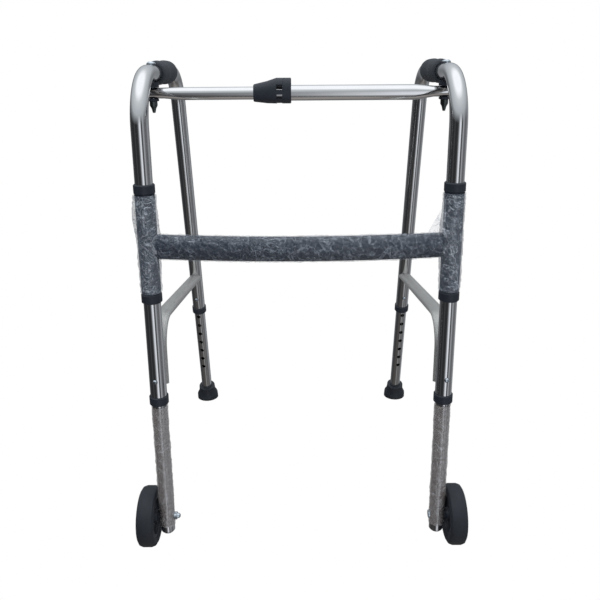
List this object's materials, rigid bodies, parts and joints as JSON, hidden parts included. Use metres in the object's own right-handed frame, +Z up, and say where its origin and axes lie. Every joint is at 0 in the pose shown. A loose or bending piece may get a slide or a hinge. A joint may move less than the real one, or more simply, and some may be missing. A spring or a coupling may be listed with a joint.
{
  "type": "walking frame",
  "caption": "Folding walking frame with chromed tube sides, telescopic top crossbar with a lock, adjustable legs, small fixed front wheels and rubber rear feet",
  "frame": {"origin": "on the floor, at the middle of the object's plan outline", "axes": "+Z up, front (wheels) toward -Y, the user stands at +Y, left is -X as seen from the front"},
  "size_m": [0.5764, 0.6194, 0.8408],
  "materials": {
    "chrome": "bright chrome-plated steel tube",
    "grey_tube": "satin grey-silver",
    "black_paint": "black powder coat",
    "black_plastic": "moulded, slightly satin",
    "grip_foam": "matte soft foam",
    "rubber": "matte moulded rubber",
    "zinc_steel": "bright zinc plate"
  },
  "bodies": {
    "front_frame": {"lower_crossbar": "black_paint", "left_hinge_sleeve": "black_paint", "right_hinge_sleeve": "black_paint"},
    "left_side": {"left_side_tube": "chrome", "left_side_brace": "grey_tube", "left_hand_grip": "grip_foam", "left_upper_hinge_collar": "black_plastic", "left_lower_hinge_collar": "black_plastic", "left_front_leg_ring": "black_plastic", "left_rear_leg_ring": "black_plastic", "left_pivot_bolt": "zinc_steel", "left_pivot_spacer": "black_plastic", "left_pivot_washer": "black_plastic", "left_pivot_nut": "zinc_steel"},
    "left_front_extension": {"left_front_leg": "chrome", "left_front_leg_plug": "black_plastic", "left_axle_bolt": "zinc_steel", "left_wheel_washer": "black_plastic", "left_axle_nut": "zinc_steel"},
    "left_wheel": {"left_wheel_hub": "black_plastic", "left_tyre": "rubber"},
    "left_rear_extension": {"left_rear_leg": "chrome", "left_rubber_foot": "rubber"},
    "left_front_button": {"left_front_leg_button": "zinc_steel"},
    "left_rear_button": {"left_rear_leg_button": "zinc_steel"},
    "right_side": {"right_side_tube": "chrome", "right_side_brace": "grey_tube", "right_hand_grip": "grip_foam", "right_upper_hinge_collar": "black_plastic", "right_lower_hinge_collar": "black_plastic", "right_front_leg_ring": "black_plastic", "right_rear_leg_ring": "black_plastic", "right_pivot_bolt": "zinc_steel", "right_pivot_spacer": "black_plastic"},
    "right_front_extension": {"right_front_leg": "chrome", "right_front_leg_plug": "black_plastic", "right_axle_bolt": "zinc_steel", "right_wheel_washer": "black_plastic", "right_axle_nut": "zinc_steel"},
    "right_wheel": {"right_wheel_hub": "black_plastic", "right_tyre": "rubber"},
    "right_rear_extension": {"right_rear_leg": "chrome", "right_rubber_foot": "rubber"},
    "right_front_button": {"right_front_leg_button": "zinc_steel"},
    "right_rear_button": {"right_rear_leg_button": "zinc_steel"},
    "crossbar_inner": {"crossbar_inner_tube": "chrome"},
    "crossbar_guide": {"crossbar_guide_bush": "zinc_steel"},
    "crossbar_outer": {"crossbar_outer_tube": "chrome", "right_pivot_washer": "black_plastic", "right_pivot_nut": "zinc_steel", "lock_housing": "black_plastic"},
    "lock_ring": {"lock_ring": "black_plastic"}
  },
  "joints": [
    {"name": "left_fold", "type": "hinge", "parent": "front_frame", "child": "left_side", "pos_m": [-0.242, -0.25775, 0.553], "axis": [0, 0, -1], "range_deg": [0, 55]},
    {"name": "right_fold", "type": "hinge", "parent": "front_frame", "child": "right_side", "pos_m": [0.242, -0.25775, 0.553], "axis": [0, 0, 1], "range_deg": [0, 14]},
    {"name": "crossbar_turn", "type": "hinge", "parent": "left_side", "child": "crossbar_inner", "pos_m": [-0.242, -0.14775, 0.787], "axis": [0, 0, 1], "range_deg": [0, 64]},
    {"name": "guide_slide", "type": "slide", "parent": "crossbar_inner", "child": "crossbar_guide", "axis": [-1, 0, 0], "range_m": [0, 0.0875]},
    {"name": "crossbar_slide", "type": "slide", "parent": "crossbar_guide", "child": "crossbar_outer", "axis": [-1, 0, 0], "range_m": [0, 0.0268]},
    {"name": "lock_pull", "type": "slide", "parent": "crossbar_outer", "child": "lock_ring", "axis": [1, 0, 0], "range_m": [0, 0.004], "stiffness_N_per_m": 400},
    {"name": "left_front_leg_slide", "type": "slide", "parent": "left_side", "child": "left_front_extension", "axis": [0, 0, -1], "range_m": [0, 0.1524]},
    {"name": "left_rear_leg_slide", "type": "slide", "parent": "left_side", "child": "left_rear_extension", "axis": [0, 0.2524, -0.9676], "range_m": [-0.1524, 0.0254]},
    {"name": "left_wheel_spin", "type": "hinge", "parent": "left_front_extension", "child": "left_wheel", "pos_m": [-0.2732, -0.25775, 0.052], "axis": [1, 0, 0], "continuous": true},
    {"name": "left_front_button_press", "type": "slide", "parent": "left_side", "child": "left_front_button", "axis": [0.1392, 0.9903, 0], "range_m": [0, 0.0034], "stiffness_N_per_m": 300},
    {"name": "left_rear_button_press", "type": "slide", "parent": "left_side", "child": "left_rear_button", "axis": [0.1437, 0.9576, 0.2497], "range_m": [0, 0.0034], "stiffness_N_per_m": 300},
    {"name": "right_front_leg_slide", "type": "slide", "parent": "right_side", "child": "right_front_extension", "axis": [0, 0, -1], "range_m": [0, 0.1524]},
    {"name": "right_rear_leg_slide", "type": "slide", "parent": "right_side", "child": "right_rear_extension", "axis": [0, 0.2524, -0.9676], "range_m": [-0.1524, 0.0254]},
    {"name": "right_wheel_spin", "type": "hinge", "parent": "right_front_extension", "child": "right_wheel", "pos_m": [0.2732, -0.25775, 0.052], "axis": [1, 0, 0], "continuous": true},
    {"name": "right_front_button_press", "type": "slide", "parent": "right_side", "child": "right_front_button", "axis": [-0.1392, 0.9903, 0], "range_m": [0, 0.0034], "stiffness_N_per_m": 300},
    {"name": "right_rear_button_press", "type": "slide", "parent": "right_side", "child": "right_rear_button", "axis": [-0.1437, 0.9576, 0.2497], "range_m": [0, 0.0034], "stiffness_N_per_m": 300}
  ],
  "couplings": [
    {"joint": "crossbar_turn", "follows": "left_fold", "ratio": 1.1235},
    {"joint": "guide_slide", "follows": "left_fold", "m_per_rad": 0.090969},
    {"joint": "crossbar_slide", "follows": "right_fold", "m_per_rad": 0.10886}
  ]
}
